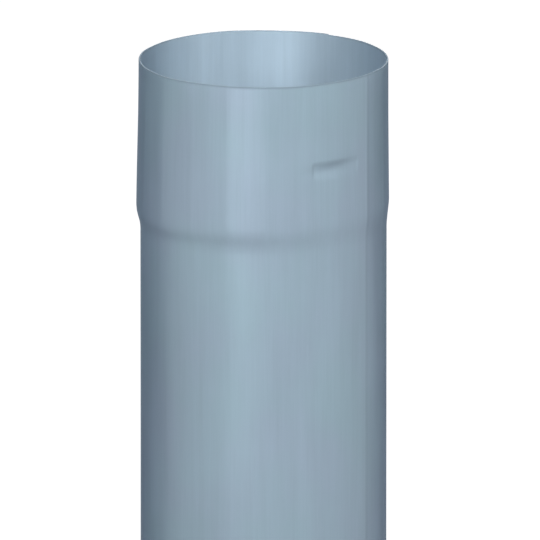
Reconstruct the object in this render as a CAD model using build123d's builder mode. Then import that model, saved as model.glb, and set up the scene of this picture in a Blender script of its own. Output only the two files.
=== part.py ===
# Round downpipe of bare zinc sheet, one piece of stock, in millimetres.
# The sheet is rolled to a tube, closed by a welded seam along its length,
# and its upper end is expanded to a socket that takes the next pipe's plain end.
# The pipe stands upright: origin at the centre of its lower end, +Z up, front at -Y.

import os
from math import atan2, cos, hypot, radians, sin, tan

from build123d import *

# Stock
overall_length = 1000
pipe_diameter = 100
sheet = 0.65

# Socket, from the rim downwards
mouth_clearance = 0.15  # gap all round the next pipe's plain end
mouth_land = 22  # length of the narrow mouth
relief_length = 40  # below the mouth the socket widens a little
relief = 0.45  # how much its radius gains there
shoulder_length = 6  # cone from the socket down to the pipe
bend_radius = 20  # at both ends of that cone

# Welded seam, a low crowned bead up the outside
seam_angle = -34  # direction from the axis, 0 at +X and -90 at the front
seam_width = 3
seam_height = 0.15
seam_root = 0.3  # how deep the weld reaches into the sheet
seam_inset = 0.5  # the bead stops this short of both cut edges

# Blank field pressed into the socket beside the seam
field_angle = -54  # direction of its middle
field_drop = 36.5  # from the rim down to its middle
field_width = 24
field_height = 9
field_corner = 2
field_depth = 0.25

# Deburred edges at both ends
edge_radius = 0.15

# Radii and heights that follow from these
pipe_radius = pipe_diameter / 2
mouth_radius = pipe_radius + mouth_clearance + sheet
socket_radius = mouth_radius + relief
land_base = overall_length - mouth_land
socket_base = land_base - relief_length
shoulder_base = socket_base - shoulder_length

# The two bends of the shoulder share its cone, so a short cone limits them
shoulder_step = socket_radius - pipe_radius
shoulder_turn = atan2(shoulder_step, shoulder_length)
bend_room = 0.4 * hypot(shoulder_step, shoulder_length)
bend = min(bend_radius, bend_room / tan(shoulder_turn / 2))


def outward(angle):
    """Give the level direction away from the axis at an angle from +X."""
    return Vector(cos(radians(angle)), sin(radians(angle)), 0)


def outline(inset=0):
    """Draw the wall's outside upwards, short of both ends by the inset."""
    FilletPolyline(
        (pipe_radius, inset),
        (pipe_radius, shoulder_base),
        (socket_radius, socket_base),
        (mouth_radius, land_base),
        (mouth_radius, overall_length - inset),
        radius=(bend, bend, 0),
    )


def layer_section(thickness):
    """Give the section of the wall's outermost layer."""
    with BuildSketch() as layer:
        with BuildLine():
            outline()
            offset(amount=thickness, side=Side.LEFT, kind=Kind.INTERSECTION)
        make_face()
    return layer.sketch


# The field is a rounded patch of the wall's outermost layer
with BuildPart() as field:
    with BuildSketch(Plane.XZ):
        add(layer_section(field_depth))
    revolve(axis=Axis.Z)
    field_centre = (0, 0, overall_length - field_drop)
    with BuildSketch(Plane(field_centre, x_dir=(0, 0, 1), z_dir=outward(field_angle))):
        RectangleRounded(field_height, field_width, field_corner)
    extrude(amount=2 * socket_radius, mode=Mode.INTERSECT)

# The bead's section is a shallow circle segment, swept along the outline
crown_radius = (seam_width**2 / 4 + seam_height**2) / (2 * seam_height)
with BuildPart() as bead:
    with BuildLine(Plane((0, 0, 0), outward(seam_angle), outward(seam_angle - 90))) as route:
        outline(inset=seam_inset)
    with BuildSketch(Plane(route.line @ 0, outward(seam_angle), (0, 0, 1))):
        with Locations((seam_height - crown_radius, 0)):
            Circle(crown_radius)
        with Locations((-seam_root, 0)):
            Rectangle(
                2 * crown_radius,
                2 * crown_radius,
                align=(Align.MAX, Align.CENTER),
                mode=Mode.SUBTRACT,
            )
    sweep(path=route.line)

with BuildPart() as downpipe:
    with BuildSketch(Plane.XZ):
        add(layer_section(sheet))
    revolve(axis=Axis.Z)
    levels = downpipe.edges().group_by(Axis.Z)
    fillet(levels[0] + levels[-1], edge_radius)
    add(bead.part)
    add(field.part, mode=Mode.SUBTRACT)

downpipe.part.label = "downpipe"
os.makedirs("parts", exist_ok=True)
export_step(downpipe.part, "parts/downpipe.step")
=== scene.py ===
import math

import bpy
import numpy as np
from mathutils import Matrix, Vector


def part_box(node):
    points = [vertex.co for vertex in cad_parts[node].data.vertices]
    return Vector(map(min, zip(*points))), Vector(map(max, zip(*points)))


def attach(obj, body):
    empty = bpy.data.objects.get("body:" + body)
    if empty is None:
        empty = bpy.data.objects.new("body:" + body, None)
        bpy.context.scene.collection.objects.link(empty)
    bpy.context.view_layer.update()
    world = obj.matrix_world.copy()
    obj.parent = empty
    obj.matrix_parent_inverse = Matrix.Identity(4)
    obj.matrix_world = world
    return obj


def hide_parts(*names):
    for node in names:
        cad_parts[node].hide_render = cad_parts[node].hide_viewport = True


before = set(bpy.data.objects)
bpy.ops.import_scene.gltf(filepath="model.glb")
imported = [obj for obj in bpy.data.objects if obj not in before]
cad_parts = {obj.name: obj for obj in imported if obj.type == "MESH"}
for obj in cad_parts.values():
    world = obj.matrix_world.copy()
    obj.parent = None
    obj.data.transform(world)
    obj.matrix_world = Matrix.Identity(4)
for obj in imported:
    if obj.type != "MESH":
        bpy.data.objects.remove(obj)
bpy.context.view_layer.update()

MM = 0.001
front_angle = -90

# The pipe as built
low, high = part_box("downpipe")
length = high[2] - low[2]
pipe_radius = 50 * MM
sheet = 0.65 * MM
mouth_radius = 50.8 * MM
socket_radius = 51.25 * MM
mouth_land = 22 * MM
relief_length = 40 * MM
shoulder_length = 6 * MM
shoulder_bend = 2.8 * MM  # half the length that each bend of the shoulder takes up
edge_radius = 0.15 * MM

land_base = length - mouth_land
socket_base = land_base - relief_length
shoulder_base = socket_base - shoulder_length

# Seam
seam_angle = -34
seam_width = 3 * MM
seam_height = 0.06 * MM
seam_root = 0.4  # share of that height by which the weld stands in at the inner wall
seam_inset = 0.5 * MM
seam_ripple = 0.12  # share of its height by which the bead swells and shrinks
ripple_scales = (1.1 * MM, 3.7 * MM)
seam_peak_width = 8 * MM  # the sheet beside the weld stands up a little
seam_peak_height = 0.04 * MM

# Blank pressed field
field_angle = -54
field_drop = 36.5 * MM
field_width = 24 * MM
field_height = 9 * MM
field_depth = 0.5 * MM
field_middle_share = 0.72  # share of that depth at the field's middle
field_side_share = 0.28  # what is added to it at the left and taken off at the right
field_side_slope = 1.6 * MM  # breadth of its sloping borders
field_top_slope = 2.8 * MM
field_bottom_slope = 5.6 * MM
painted_shade_middle = (-2 * MM, 2.5 * MM)  # from the field's middle to where the painted shade is darkest
painted_shade_length = 9 * MM
painted_shade_breadth = 1.9 * MM
painted_shade_tilt = 0.09  # rise of the painted shade's streak to the right

# Marks that the expanding tool leaves: faint flats side by side round the socket
tool_segments = 20
tool_phase = 1.2  # degrees from the front to the nearest line between two flats
tool_flatness = 0.3  # 1 would be a true polygon
tool_run_in = 3 * MM  # how far above the shoulder the flats reach their full strength
tool_mouth_loss = 0.5  # share of that strength that is lost at the rim

# How far the marks of the surface spread
weld_reach = 0.9 * MM
cut_edge_reach = 0.5 * MM

# Zinc: the sheet's two tones, what darkens them, and the painted light and painted shade laid into its
# colour
teal = (0.298, 0.408, 0.478, 1)
lilac = (0.309, 0.398, 0.487, 1)
# painted light: the inside wall is drawn paler than the outside, as if more light reached it
inside_painted_light_tone = (0.345, 0.443, 0.523, 1)
weld_tone = (0.205, 0.270, 0.330, 1)
# painted shade: darkens the sheet under the blank field's upper border
painted_shade_tone = (0.15, 0.20, 0.25, 1)
cut_tone = (0.21, 0.28, 0.335, 1)
highlight_tint = (0.61, 0.55, 0.6, 1)
metal_share = 0.35  # 1 would be a full metal
cut_metal_loss = 0.9  # share of the metallic look that a cut edge lacks


def smooth_step(value, start, end):
    """Rise smoothly from 0 at the start to 1 at the end."""
    share = np.clip((value - start) / (end - start), 0, 1)
    return share * share * (3 - 2 * share)


def outline(height):
    """Give the outer radius at a height, with the shoulder's bends rounded."""
    heights = (0, shoulder_base, socket_base, land_base, length)
    radii = (pipe_radius, pipe_radius, socket_radius, mouth_radius, mouth_radius)
    spread = np.linspace(-shoulder_bend, shoulder_bend, 41)
    return np.mean([np.interp(height + offset, heights, radii) for offset in spread], axis=0)


def stations(*runs):
    """Join runs of (start, end, step) into one rising list without doubles."""
    values = [np.linspace(a, b, max(2, round((b - a) / step) + 1)) for a, b, step in runs]
    joined = np.concatenate(values)
    keep = np.concatenate(([True], np.diff(joined) > 1e-9))
    return joined[keep]


def inner_heights():
    """Give the heights of the inner wall's rows, close together at the shoulder and the rim."""
    bend_reach, rim_reach = 6 * MM, 2 * MM
    below, above = shoulder_base - bend_reach, socket_base + bend_reach
    top = length - edge_radius
    return stations(
        (edge_radius, below, 24 * MM),
        (below, above, 1.2 * MM),
        (above, top - rim_reach, 3 * MM),
        (top - rim_reach, top, 0.6 * MM),
    )


def outer_heights():
    """Give the heights of the outer wall's rows, closest together at the blank field's borders."""
    bend_reach, end_reach, border_reach = 5 * MM, 2 * MM, 1 * MM
    below, above = shoulder_base - bend_reach, socket_base + bend_reach
    field_base = length - field_drop - field_height / 2
    field_top = length - field_drop + field_height / 2
    top = length - edge_radius
    return stations(
        (edge_radius, end_reach, 0.5 * MM),
        (end_reach, below, 16 * MM),
        (below, above, 0.6 * MM),
        (above, field_base - border_reach, 2 * MM),
        (field_base - border_reach, field_base + border_reach, 0.25 * MM),
        (field_base + border_reach, field_top - border_reach, 0.6 * MM),
        (field_top - border_reach, field_top + border_reach, 0.25 * MM),
        (field_top + border_reach, top - end_reach, 2 * MM),
        (top - end_reach, top, 0.4 * MM),
    )


def column_angles():
    """Give the columns' angles for one turn, closer together at the seam and the field."""
    half_field = math.degrees(math.asin(field_width / 2 / socket_radius))
    left, right = field_angle - half_field, field_angle + half_field
    border, weld = 1.5, 3  # half the closer stretches, in degrees
    return stations(
        (-180, left - border, 1),
        (left - border, left + border, 0.3),
        (left + border, right - border, 0.8),
        (right - border, right + border, 0.3),
        (right + border, seam_angle - weld, 0.8),
        (seam_angle - weld, seam_angle + weld, 0.2),
        (seam_angle + weld, 180, 1),
    )[:-1]


def from_field(angle, height):
    """Give how far a place lies to the right of the blank field's middle, and how far above it."""
    across = np.radians(angle - field_angle) * socket_radius
    up = height - (length - field_drop)
    return across, up


def field_press(angle, height):
    """Give how far the blank field is pressed in, deepest under its upper left edge."""
    across, up = from_field(angle, height)
    side = smooth_step(field_width / 2 - np.abs(across), 0, field_side_slope)
    above = smooth_step(field_height / 2 - up, 0, field_top_slope)
    below = smooth_step(field_height / 2 + up, 0, field_bottom_slope)
    share = field_middle_share - field_side_share * across / (field_width / 2)
    return field_depth * side * above * below * share


def field_rub(angle, height):
    """Give how much shade is painted on the sheet under the blank field's upper border."""
    across, up = from_field(angle, height)
    along = (across - painted_shade_middle[0]) / painted_shade_length
    off = (up - painted_shade_middle[1] - painted_shade_tilt * across) / painted_shade_breadth
    return np.exp(-(along ** 2) - off ** 2)


def seam_bead(angle, height):
    """Give the height of the weld bead and of the sheet that it lifts beside it."""
    across = np.radians(angle - seam_angle) * pipe_radius
    crown = np.clip(1 - (2 * across / seam_width) ** 2, 0, 1)
    ends = smooth_step(height, 0, seam_inset * 2) * smooth_step(length - height, 0, seam_inset * 2)
    ripple = 1 + seam_ripple * np.sin(height / ripple_scales[0]) * np.sin(height / ripple_scales[1])
    lifted = np.exp(-(across / (seam_peak_width / 2)) ** 2)
    return seam_height * crown * ends * ripple, seam_peak_height * lifted


def tool_flats(angle, height):
    """Give the socket's faint flats, one for each segment of the expanding tool."""
    pitch = 360 / tool_segments
    from_middle = (angle - front_angle - tool_phase) % pitch - pitch / 2
    sag = pipe_radius * (1 / np.cos(np.radians(from_middle)) - 1)
    mean_sag = pipe_radius * np.radians(pitch / 2) ** 2 / 6
    reach = smooth_step(height, shoulder_base, socket_base + tool_run_in)
    reach = reach * (1 - tool_mouth_loss * smooth_step(height, land_base, length))
    return tool_flatness * (sag - mean_sag) * reach


def handling_waves(angle, height):
    """Give the slight waves and out-of-round of thin rolled sheet, summed up in millimetres."""
    turn = np.radians(angle)
    round_from = 0.5
    lower_oval = 0.15 * (1 - smooth_step(height, round_from, shoulder_base))
    oval = 0.06 + lower_oval - 0.2 * smooth_step(height, socket_base, length)
    waves = oval * np.cos(2 * turn) + 0.02 * np.cos(3 * turn + 1.9)
    waves = waves + 0.020 * np.sin(5 * turn + 9 * height) * np.sin(14 * height + 0.4)
    waves = waves + 0.012 * np.sin(9 * turn - 21 * height + 1) * np.cos(37 * height)
    waves = waves + 0.008 * np.sin(17 * turn + 3) * np.sin(61 * height + 2 * turn)
    return waves * MM


def socket_lean(height):
    """Give how far the socket's base sits off the pipe's axis, to the left."""
    most = 0.35
    rise = smooth_step(height, shoulder_base, socket_base)
    return rise * (1 - smooth_step(height, socket_base, length)) * most * MM


def shoulder_slant(angle, height):
    """Lower the shoulder on the left and raise it on the right, as the photograph shows it."""
    tilt, lift = 0.9, 0.4
    reach = 16 * MM
    near = np.exp(-((height - (shoulder_base + socket_base) / 2) / reach) ** 2)
    return near * (tilt * np.cos(np.radians(angle)) + lift) * MM


def rim_unevenness(angle):
    """Give how far the cut edge at the rim strays from level, with one small step at the back right."""
    turn = np.radians(angle)
    step_start, step_top, step_end = 57, 60, 80
    swell_middle, swell_breadth = 122, 14
    step_height, swell_height, lowered = 0.35, 0.15, 0.12
    waves = 0.10 * np.sin(2 * turn + 2.4) + 0.07 * np.sin(5 * turn + 5.0) + 0.05 * np.sin(11 * turn)
    fall = 1 - smooth_step(angle, step_top, step_end)
    step = step_height * smooth_step(angle, step_start, step_top) * fall
    swell = swell_height * np.exp(-(((angle - swell_middle) / swell_breadth) ** 2))
    return (waves + step + swell - lowered) * MM


def profile_rows():
    """Give the closed section: radius below the outline, height, and 1 for the outer wall or 0."""
    quarter = np.radians((22.5, 45, 67.5, 90))
    rounding = [(edge_radius * (1 - math.cos(turn)), edge_radius * math.sin(turn)) for turn in quarter]
    rim, foot = length - edge_radius, edge_radius
    rows = [(0, height, 1) for height in outer_heights()]
    rows += [(inset, rim + rise, 1) for inset, rise in rounding]
    rows += [(sheet - inset, rim + rise, 0) for inset, rise in rounding[::-1]]
    rows += [(sheet, height, 0) for height in inner_heights()[::-1]]
    rows += [(sheet - inset, foot - rise, 0) for inset, rise in rounding]
    rows += [(inset, foot - rise, 1) for inset, rise in rounding[::-1]]
    return np.array(rows)


def skin_points(rows, angles):
    """Place each row of the section at each column's angle."""
    depth, height, outer = (rows[:, i][:, None] for i in range(3))
    angle = angles[None, :]
    bead, lifted = seam_bead(angle, height)
    radius = outline(height) - depth + handling_waves(angle, height) + tool_flats(angle, height)
    radius = radius + lifted + outer * bead - seam_root * (1 - outer) * bead
    radius = radius - field_press(angle, height)

    turn = np.radians(angle)
    near_rim = smooth_step(height, land_base, length)
    x = radius * np.cos(turn) - socket_lean(height)
    y = radius * np.sin(turn)
    z = height + near_rim * rim_unevenness(angle) + shoulder_slant(angle, height)
    return np.stack(np.broadcast_arrays(x, y, z), axis=-1).reshape(-1, 3)


def skin_faces(row_count, column_count):
    """Join rows and columns into quads, closed round the section and round the pipe."""
    i = np.arange(row_count)[:, None]
    j = np.arange(column_count)[None, :]
    next_i, next_j = (i + 1) % row_count, (j + 1) % column_count
    corners = ((i, j), (i, next_j), (next_i, next_j), (next_i, j))
    numbers = [row * column_count + column for row, column in corners]
    return np.stack(np.broadcast_arrays(*numbers), axis=-1).reshape(-1, 4)


def surface_marks(rows, angles):
    """Give how far each point belongs to the weld, a cut edge, the inside and the painted shade under
    the blank field.
    """
    depth, height = (rows[:, i][:, None] for i in range(2))
    angle = angles[None, :]
    across = np.abs(np.radians(angle - seam_angle)) * pipe_radius
    from_end = np.minimum(height, length - height)
    marks = {
        "weld": np.exp(-(across / weld_reach) ** 2),
        "cut_edge": np.exp(-(from_end / cut_edge_reach) ** 2),
        "within": smooth_step(depth, 0.3 * sheet, 0.7 * sheet),
        "painted_shade": field_rub(angle, height),
    }
    shape = (len(rows), len(angles))
    return {name: np.broadcast_to(values, shape) for name, values in marks.items()}


def build_pipe():
    """Build the pipe's mesh, one closed skin of both wall faces and both cut edges."""
    rows = profile_rows()
    angles = column_angles()
    points = skin_points(rows, angles)
    faces = skin_faces(len(rows), len(angles))
    mesh = bpy.data.meshes.new("pipe_sheet")
    mesh.from_pydata(points.tolist(), [], faces.tolist())
    mesh.polygons.foreach_set("use_smooth", np.ones(len(faces), dtype=bool))
    for name, values in surface_marks(rows, angles).items():
        layer = mesh.attributes.new(name, "FLOAT", "POINT")
        layer.data.foreach_set("value", np.ascontiguousarray(values, dtype=np.float32).ravel())
    mesh.update()
    pipe = bpy.data.objects.new("zinc_pipe", mesh)
    bpy.context.scene.collection.objects.link(pipe)
    return pipe


class Nodes:
    """A short way to write node trees: add a node, set its inputs, link it on."""

    def __init__(self, tree):
        self.tree = tree
        tree.nodes.clear()

    def add(self, kind, settings=None, **inputs):
        """Add a node with the given settings and inputs."""
        node = self.tree.nodes.new(kind)
        for name, value in (settings or {}).items():
            setattr(node, name, value)
        for name, value in inputs.items():
            self.set(node, name.replace("_", " "), value)
        return node

    def set(self, node, name, value):
        """Link a socket to an input, or give the input a plain value. The name can be a number."""
        socket = node.inputs[int(name) if name.isdigit() else name]
        if isinstance(value, bpy.types.NodeSocket):
            self.tree.links.new(value, socket)
        else:
            socket.default_value = value

    def math(self, operation, a, b):
        """Add a math node and give its result."""
        node = self.tree.nodes.new("ShaderNodeMath")
        node.operation = operation
        self.set(node, "0", a)
        self.set(node, "1", b)
        return node.outputs[0]

    def noise(self, vector, scale, detail, roughness):
        """Add noise and give its value."""
        node = self.add("ShaderNodeTexNoise", Scale=scale, Detail=detail, Roughness=roughness)
        self.set(node, "Vector", vector)
        return node.outputs["Fac"]

    def span(self, value, low_from, high_from, low_to, high_to):
        """Map a value from one range to another."""
        node = self.add("ShaderNodeMapRange")
        for number, item in enumerate((value, low_from, high_from, low_to, high_to)):
            self.set(node, str(number), item)
        return node.outputs[0]

    def swing(self, noise, amount):
        """Turn noise into a small change up or down."""
        return self.span(noise, 0.3, 0.7, -amount, amount)

    def mix(self, factor, a, b, blend="MIX"):
        """Mix two colours."""
        node = self.tree.nodes.new("ShaderNodeMix")
        node.data_type = "RGBA"
        node.blend_type = blend
        self.set(node, "0", factor)
        self.set(node, "6", a)
        self.set(node, "7", b)
        return node.outputs[2]

    def show(self, surface, kind="ShaderNodeOutputMaterial"):
        """Link the surface to the tree's output."""
        output = self.add(kind)
        self.set(output, "Surface", surface)


def new_material(name):
    """Give an empty material and its nodes."""
    material = bpy.data.materials.new(name)
    material.use_nodes = True
    return material, Nodes(material.node_tree)


def rolled_noise(n, place, along, scale, detail, roughness):
    """Add noise drawn out lengthwise: the smaller the share along the pipe, the longer its streaks."""
    mapping = n.add("ShaderNodeMapping")
    n.set(mapping, "Vector", place)
    n.set(mapping, "Scale", (1, 1, along))
    return n.noise(mapping.outputs[0], scale, detail, roughness)


def sheet_patterns(n):
    """Give the rolled sheet's patterns, from the finest grain to broad clouds."""
    place = n.add("ShaderNodeTexCoord").outputs["Object"]
    return {
        "grain": rolled_noise(n, place, along=0.02, scale=1500, detail=4, roughness=0.6),
        "streaks": rolled_noise(n, place, along=0.05, scale=210, detail=4, roughness=0.55),
        "bands": rolled_noise(n, place, along=0.12, scale=42, detail=3, roughness=0.5),
        "clouds": rolled_noise(n, place, along=0.7, scale=30, detail=4, roughness=0.55),
        "hue": rolled_noise(n, place, along=0.6, scale=38, detail=4, roughness=0.5),
    }


def sheet_shade(n, patterns):
    """Give a grey close to 1 that varies with the sheet's patterns."""
    shade = n.math("ADD", n.swing(patterns["streaks"], 0.035), n.swing(patterns["clouds"], 0.03))
    shade = n.math("ADD", shade, n.swing(patterns["bands"], 0.025))
    shade = n.math("ADD", shade, n.swing(patterns["grain"], 0.02))
    shade = n.math("ADD", shade, 1.0)
    grey = n.add("ShaderNodeCombineColor")
    for channel in "012":
        n.set(grey, channel, shade)
    return grey.outputs[0]


def sheet_colour(n, patterns, marks):
    """Give the sheet's colour: two tones in clouds, painted light that makes the inside paler, painted
    shade under the field's upper border, darker at the weld and cuts.
    """
    colour = n.mix(n.span(patterns["hue"], 0.35, 0.65, 0, 1), teal, lilac)
    shade = sheet_shade(n, patterns)
    # painted light: the inside wall is mixed towards a paler tone
    colour = n.mix(marks["within"], colour, inside_painted_light_tone)
    colour = n.mix(1.0, colour, shade, "MULTIPLY")
    # the weld and the cut edges are darker in their own colour; the field's entry is painted shade
    # under its upper border
    darker = (("weld", 0.18, weld_tone), ("painted_shade", 0.45, painted_shade_tone), ("cut_edge", 0.9, cut_tone))
    for mark, amount, tone in darker:
        colour = n.mix(n.math("MULTIPLY", marks[mark], amount), colour, tone)
    return colour


def sheet_roughness(n, patterns, marks):
    """Give the sheet's roughness, higher at the cut edges."""
    smooth, coarse, added_at_cuts = 0.41, 0.47, 0.3
    streaks = n.span(patterns["streaks"], 0.3, 0.7, smooth, coarse)
    rough = n.math("ADD", streaks, n.swing(patterns["clouds"], 0.03))
    return n.math("ADD", rough, n.math("MULTIPLY", marks["cut_edge"], added_at_cuts))


def sheet_bump(n, patterns):
    """Give the fine relief of the streaks and the grain."""
    grain_share = 0.35
    grain = n.math("MULTIPLY", patterns["grain"], grain_share)
    relief = n.math("ADD", grain, patterns["streaks"])
    bump = n.add("ShaderNodeBump", Strength=0.12, Distance=0.1 * MM)
    n.set(bump, "Height", relief)
    return bump.outputs[0]


def zinc_material():
    """Bare rolled zinc: blue-grey, satin, with lengthwise grain and a faint cloudiness."""
    material, n = new_material("zinc_sheet")
    patterns = sheet_patterns(n)
    marks = {
        name: n.add("ShaderNodeAttribute", {"attribute_name": name}).outputs["Fac"]
        for name in ("weld", "cut_edge", "within", "painted_shade")
    }
    metal_loss = n.math("MULTIPLY", marks["cut_edge"], cut_metal_loss * metal_share)
    shader = n.add("ShaderNodeBsdfPrincipled")
    n.set(shader, "Metallic", n.math("SUBTRACT", metal_share, metal_loss))
    n.set(shader, "Base Color", sheet_colour(n, patterns, marks))
    n.set(shader, "Roughness", sheet_roughness(n, patterns, marks))
    n.set(shader, "Normal", sheet_bump(n, patterns))
    n.set(shader, "Specular IOR Level", 0.4)
    n.set(shader, "Specular Tint", highlight_tint)
    n.show(shader.outputs[0])
    return material


def seen_directly(n):
    """Give 1 for what the camera sees directly, in a reflection or through glass."""
    path = n.add("ShaderNodeLightPath").outputs
    both = n.math("MAXIMUM", path["Is Camera Ray"], path["Is Glossy Ray"])
    return n.math("MAXIMUM", both, path["Is Transmission Ray"])


def floor_material():
    """Pale floor that keeps the shadow near the pipe and fades to white away from it."""
    shadow_reach, white_from = 0.5, 2.5
    near_glow, far_glow = 0.3, 1.0
    material, n = new_material("studio_floor")
    place = n.add("ShaderNodeTexCoord").outputs["Object"]
    distance = n.add("ShaderNodeVectorMath", {"operation": "LENGTH"})
    n.set(distance, "0", place)
    fade = n.span(distance.outputs["Value"], shadow_reach, white_from, near_glow, far_glow)
    paint = n.add("ShaderNodeBsdfDiffuse", Color=(0.72, 0.72, 0.72, 1))
    glow = n.math("MULTIPLY", fade, seen_directly(n))
    light = n.add("ShaderNodeEmission", Color=(1, 1, 1, 1), Strength=glow)
    both = n.add("ShaderNodeAddShader")
    n.set(both, "0", paint.outputs[0])
    n.set(both, "1", light.outputs[0])
    n.show(both.outputs[0])
    return material


def make_floor():
    """Lay the floor that the pipe stands on."""
    half = 40
    mesh = bpy.data.meshes.new("floor")
    corners = [(-half, -half, 0), (half, -half, 0), (half, half, 0), (-half, half, 0)]
    mesh.from_pydata(corners, [], [(0, 1, 2, 3)])
    floor = bpy.data.objects.new("floor", mesh)
    bpy.context.scene.collection.objects.link(floor)
    floor.data.materials.append(floor_material())


def make_world():
    """Surround the scene with white that is seen and mirrored but lights the pipe only faintly."""
    lighting, seen = 0.05, 1.0
    world = bpy.data.worlds.new("studio")
    bpy.context.scene.world = world
    world.use_nodes = True
    n = Nodes(world.node_tree)
    strength = n.span(seen_directly(n), 0, 1, lighting, seen)
    background = n.add("ShaderNodeBackground", Color=(1, 1, 1, 1), Strength=strength)
    n.show(background.outputs[0], "ShaderNodeOutputWorld")


def direction(azimuth, elevation=0):
    """Give the way to an azimuth and elevation: azimuth 0 is the front, positive to the right."""
    turn, tilt = math.radians(azimuth), math.radians(elevation)
    return Vector((math.sin(turn) * math.cos(tilt), -math.cos(turn) * math.cos(tilt), math.sin(tilt)))


def place_lamp(name, data, away, distance, target):
    """Stand a lamp at a distance from its target and aim it there, unseen by the camera."""
    lamp = bpy.data.objects.new(name, data)
    lamp.location = Vector(target) + away * distance
    lamp.rotation_euler = away.to_track_quat("Z", "Y").to_euler()
    lamp.visible_camera = False
    bpy.context.scene.collection.objects.link(lamp)
    return lamp


def softbox(name, azimuth, elevation, distance, size, power, target):
    """Add a rectangular lamp round the target."""
    data = bpy.data.lights.new(name, "AREA")
    data.shape = "RECTANGLE"
    data.size, data.size_y = size
    data.energy = power
    place_lamp(name, data, direction(azimuth, elevation), distance, target)


def snoot(name, azimuth, elevation, reach, softness, power, target):
    """Add a lamp with a narrow oval beam of the given half width and half height at its target."""
    distance = 0.9
    half_width, half_height = reach
    data = bpy.data.lights.new(name, "SPOT")
    data.spot_size = 2 * math.atan(half_height / distance)
    data.spot_blend = softness
    data.shadow_soft_size = 0.015
    data.energy = power
    lamp = place_lamp(name, data, direction(azimuth, elevation), distance, target)
    lamp.scale = (half_width / half_height, 1, 1)


def dark_card(name, azimuth, distance, width):
    """Stand a dark card beside the view, so that the metal's flanks show it and turn dark."""
    away = direction(azimuth)
    foot = away * distance
    along = Vector((-away.y, away.x, 0)) * width / 2
    bottom, top = Vector((0, 0, 0.02)), Vector((0, 0, 1.7))
    corners = [foot - along + bottom, foot + along + bottom, foot + along + top, foot - along + top]
    mesh = bpy.data.meshes.new(name)
    mesh.from_pydata(corners, [], [(0, 1, 2, 3)])
    card = bpy.data.objects.new(name, mesh)
    bpy.context.scene.collection.objects.link(card)
    material, n = new_material(name)
    paint = n.add("ShaderNodeBsdfDiffuse", Color=(0.18, 0.23, 0.335, 1))
    n.show(paint.outputs[0])
    card.data.materials.append(material)
    card.visible_camera = False
    card.visible_shadow = False


def make_camera():
    """Aim the camera so that the socket's rim lies where the photograph shows it."""
    rim_elevation = math.radians(13.3)
    frame_pixels = 540
    rim_pixel = (263.5, 58.4)
    pipe_pixels = 246.4
    pixel = pipe_radius * 2 / pipe_pixels
    lens, sensor = 1600, 36
    distance = frame_pixels * pixel * lens / sensor
    middle = frame_pixels / 2
    drop = (middle - rim_pixel[1]) * pixel
    elevation = rim_elevation + math.atan(drop / distance)
    right = Vector((1, 0, 0))
    up = Vector((0, math.sin(elevation), math.cos(elevation)))
    back = Vector((0, -math.cos(elevation), math.sin(elevation)))
    centre = Vector((0, 0, length)) + right * (middle - rim_pixel[0]) * pixel - up * drop
    data = bpy.data.cameras.new("camera")
    data.lens, data.sensor_width = lens, sensor
    data.clip_end = 100
    camera = bpy.data.objects.new("camera", data)
    camera.location = centre + back * distance
    camera.rotation_euler = back.to_track_quat("Z", "Y").to_euler()
    bpy.context.scene.collection.objects.link(camera)
    bpy.context.scene.camera = camera


def make_cards():
    """Stand the two cards that darken the pipe's flanks."""
    dark_card("left_card", azimuth=-130, distance=0.6, width=0.72)
    dark_card("right_card", azimuth=146, distance=0.5, width=0.55)


def make_softboxes():
    """Light the pipe softly from the front left, the right and the back."""
    softbox("strip_light", azimuth=-18, elevation=38, distance=1.3,
            size=(0.36, 0.6), power=9.8, target=(0, 0, 0.85))
    softbox("low_light", azimuth=-18, elevation=22, distance=1.7,
            size=(0.40, 1.0), power=1.4, target=(0, 0, 0.55))
    softbox("socket_light", azimuth=-18, elevation=0, distance=0.45,
            size=(0.09, 0.05), power=0.145, target=(0, 0, 0.97))
    softbox("side_light", azimuth=50, elevation=35, distance=2.2,
            size=(1.0, 1.0), power=21.2, target=(0, 0, 0.9))
    softbox("back_light", azimuth=176, elevation=25, distance=1.8,
            size=(0.8, 1.5), power=21.6, target=(0, 0, 0.6))


def make_mouth_lights():
    """Light the inside of the mouth: both walls, and a bright upright band between them."""
    snoot("left_wall_light", azimuth=45, elevation=28,
          reach=(0.028, 0.033), softness=0.6, power=15.5, target=(-0.021, 0.045, 0.985))
    snoot("right_wall_light", azimuth=-35, elevation=28,
          reach=(0.028, 0.033), softness=0.6, power=11.1, target=(0.022, 0.045, 0.985))
    snoot("band_light", azimuth=-18, elevation=28,
          reach=(0.0095, 0.05), softness=0.5, power=16.6, target=(0.0057, 0.05, 0.996))


make_camera()

pipe = build_pipe()
pipe.data.materials.append(zinc_material())
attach(pipe, "root")
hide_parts("downpipe")

make_floor()
make_world()
make_cards()
make_softboxes()
make_mouth_lights()

bpy.context.scene.view_settings.view_transform = "Standard"
